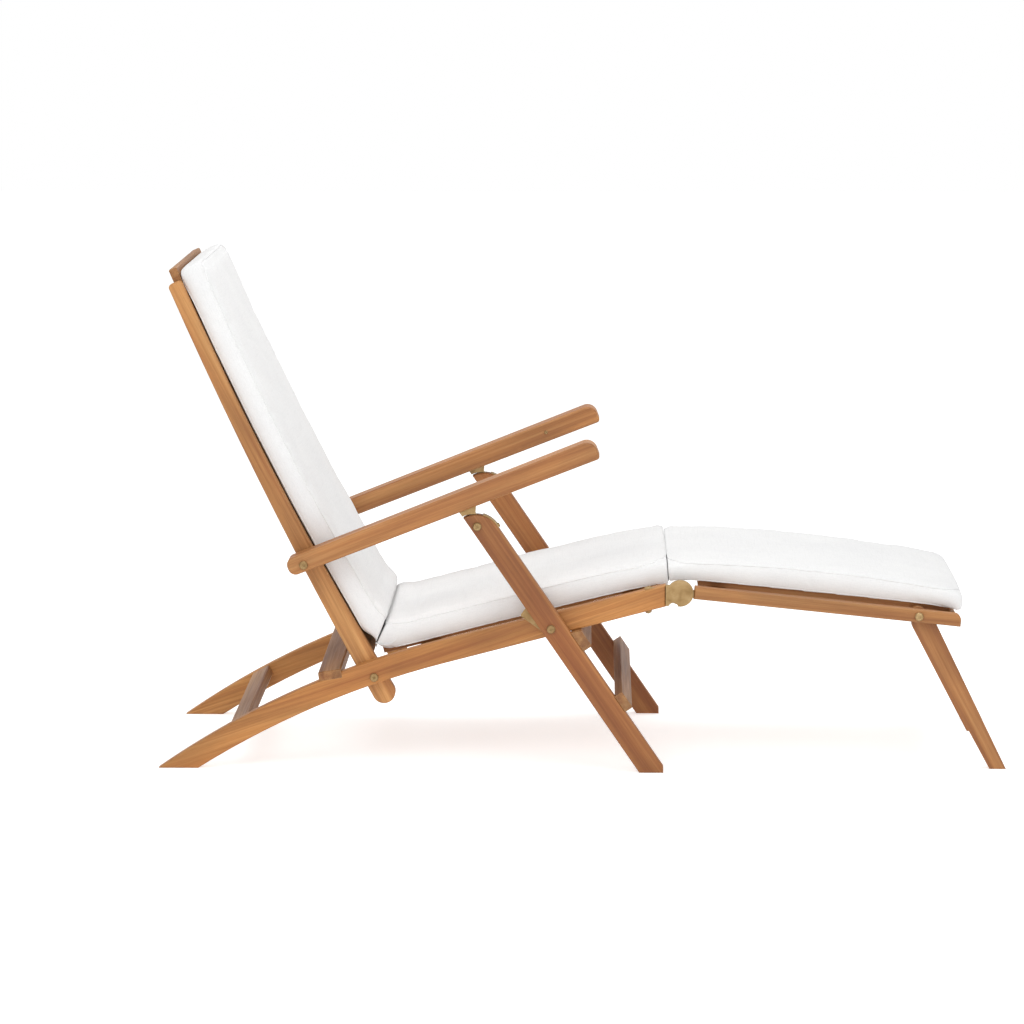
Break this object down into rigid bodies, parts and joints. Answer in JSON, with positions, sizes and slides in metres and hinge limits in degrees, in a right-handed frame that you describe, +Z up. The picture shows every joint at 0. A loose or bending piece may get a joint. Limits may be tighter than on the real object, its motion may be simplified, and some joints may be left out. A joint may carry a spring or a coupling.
{
  "type": "folding reclining chair with footrest",
  "caption": "Folding teak reclining deck chair with crossed legs, slotted arms, a hinged footrest on tapered legs, brass fittings and a white sectioned cushion.",
  "frame": {"origin": "on the floor at the centre of the bounding box", "axes": "+X from head to foot, +Y to the sitter's left, +Z up"},
  "size_m": [1.538, 0.59, 0.9196],
  "materials": {
    "teak": "oiled satin teak",
    "brass": "satin brass",
    "fabric": "plain woven white cover"
  },
  "bodies": {
    "frame": {"right_side_rail": "teak", "left_side_rail": "teak", "rear_stretcher": "teak", "back_stop_plank": "teak", "rear_seat_batten": "teak", "front_seat_batten": "teak", "seat_slat_1": "teak", "seat_slat_2": "teak", "seat_slat_3": "teak", "seat_slat_4": "teak", "seat_slat_5": "teak", "seat_slat_6": "teak", "right_seat_hinge_plate": "brass", "left_seat_hinge_plate": "brass", "hinge_pins": "brass", "leg_wear_plates": "brass", "back_pivot_bolts": "brass", "leg_pivot_bolts": "brass", "seat_pad": "fabric"},
    "front_legs": {"right_front_leg": "teak", "left_front_leg": "teak", "leg_stop_rail": "teak", "leg_stretcher": "teak", "leg_caps": "brass", "bracket_bolts": "brass"},
    "arm_brackets": {"right_arm_bracket": "brass", "left_arm_bracket": "brass"},
    "back": {"right_back_post": "teak", "left_back_post": "teak", "crest_rail": "teak", "back_bottom_rail": "teak", "back_slat_1": "teak", "back_slat_2": "teak", "back_slat_3": "teak", "back_slat_4": "teak", "back_slat_5": "teak", "back_slat_6": "teak", "back_pad": "fabric"},
    "arm_bolts": {"arm_bolts": "brass"},
    "arms": {"right_arm": "teak", "left_arm": "teak", "arm_tracks": "brass"},
    "footrest": {"right_foot_rail": "teak", "left_foot_rail": "teak", "near_foot_batten": "teak", "far_foot_batten": "teak", "foot_slat_1": "teak", "foot_slat_2": "teak", "foot_slat_3": "teak", "foot_slat_4": "teak", "foot_slat_5": "teak", "foot_slat_6": "teak", "right_foot_hinge_plate": "brass", "left_foot_hinge_plate": "brass", "foot_leg_bolts": "brass", "foot_pad": "fabric"},
    "footrest_legs": {"right_foot_leg": "teak", "left_foot_leg": "teak", "foot_leg_stretcher": "teak"}
  },
  "joints": [
    {"name": "recline", "type": "hinge", "parent": "frame", "child": "back", "pos_m": [-0.376, 0, 0.169], "axis": [0, -1, 0], "range_deg": [0, 26]},
    {"name": "leg_fold", "type": "hinge", "parent": "frame", "child": "front_legs", "pos_m": [-0.056, 0, 0.263], "axis": [0, 1, 0], "range_deg": [0, 100]},
    {"name": "bracket_tilt", "type": "hinge", "parent": "front_legs", "child": "arm_brackets", "pos_m": [-0.1885, 0, 0.449], "axis": [0, -1, 0], "range_deg": [0, 5.85]},
    {"name": "arm_swing", "type": "hinge", "parent": "back", "child": "arm_bolts", "pos_m": [-0.5, 0, 0.379], "axis": [0, -1, 0], "range_deg": [-20.15, 0]},
    {"name": "arm_lift", "type": "hinge", "parent": "arm_bolts", "child": "arms", "pos_m": [-0.5, 0, 0.379], "axis": [0, -1, 0], "range_deg": [0, 95]},
    {"name": "footrest_fold", "type": "hinge", "parent": "frame", "child": "footrest", "pos_m": [0.176, 0, 0.325], "axis": [0, -1, 0], "range_deg": [0, 100], "deforming": ["foot_pad"]},
    {"name": "footrest_leg_fold", "type": "hinge", "parent": "footrest", "child": "footrest_legs", "pos_m": [0.606, 0, 0.284], "axis": [0, 1, 0], "range_deg": [0, 110]}
  ],
  "couplings": [
    {"joint": "bracket_tilt", "follows": "recline", "ratio": 0.225},
    {"joint": "arm_swing", "follows": "recline", "ratio": -0.775},
    {"joint": "arm_lift", "follows": "leg_fold", "ratio": 0.95}
  ]
}
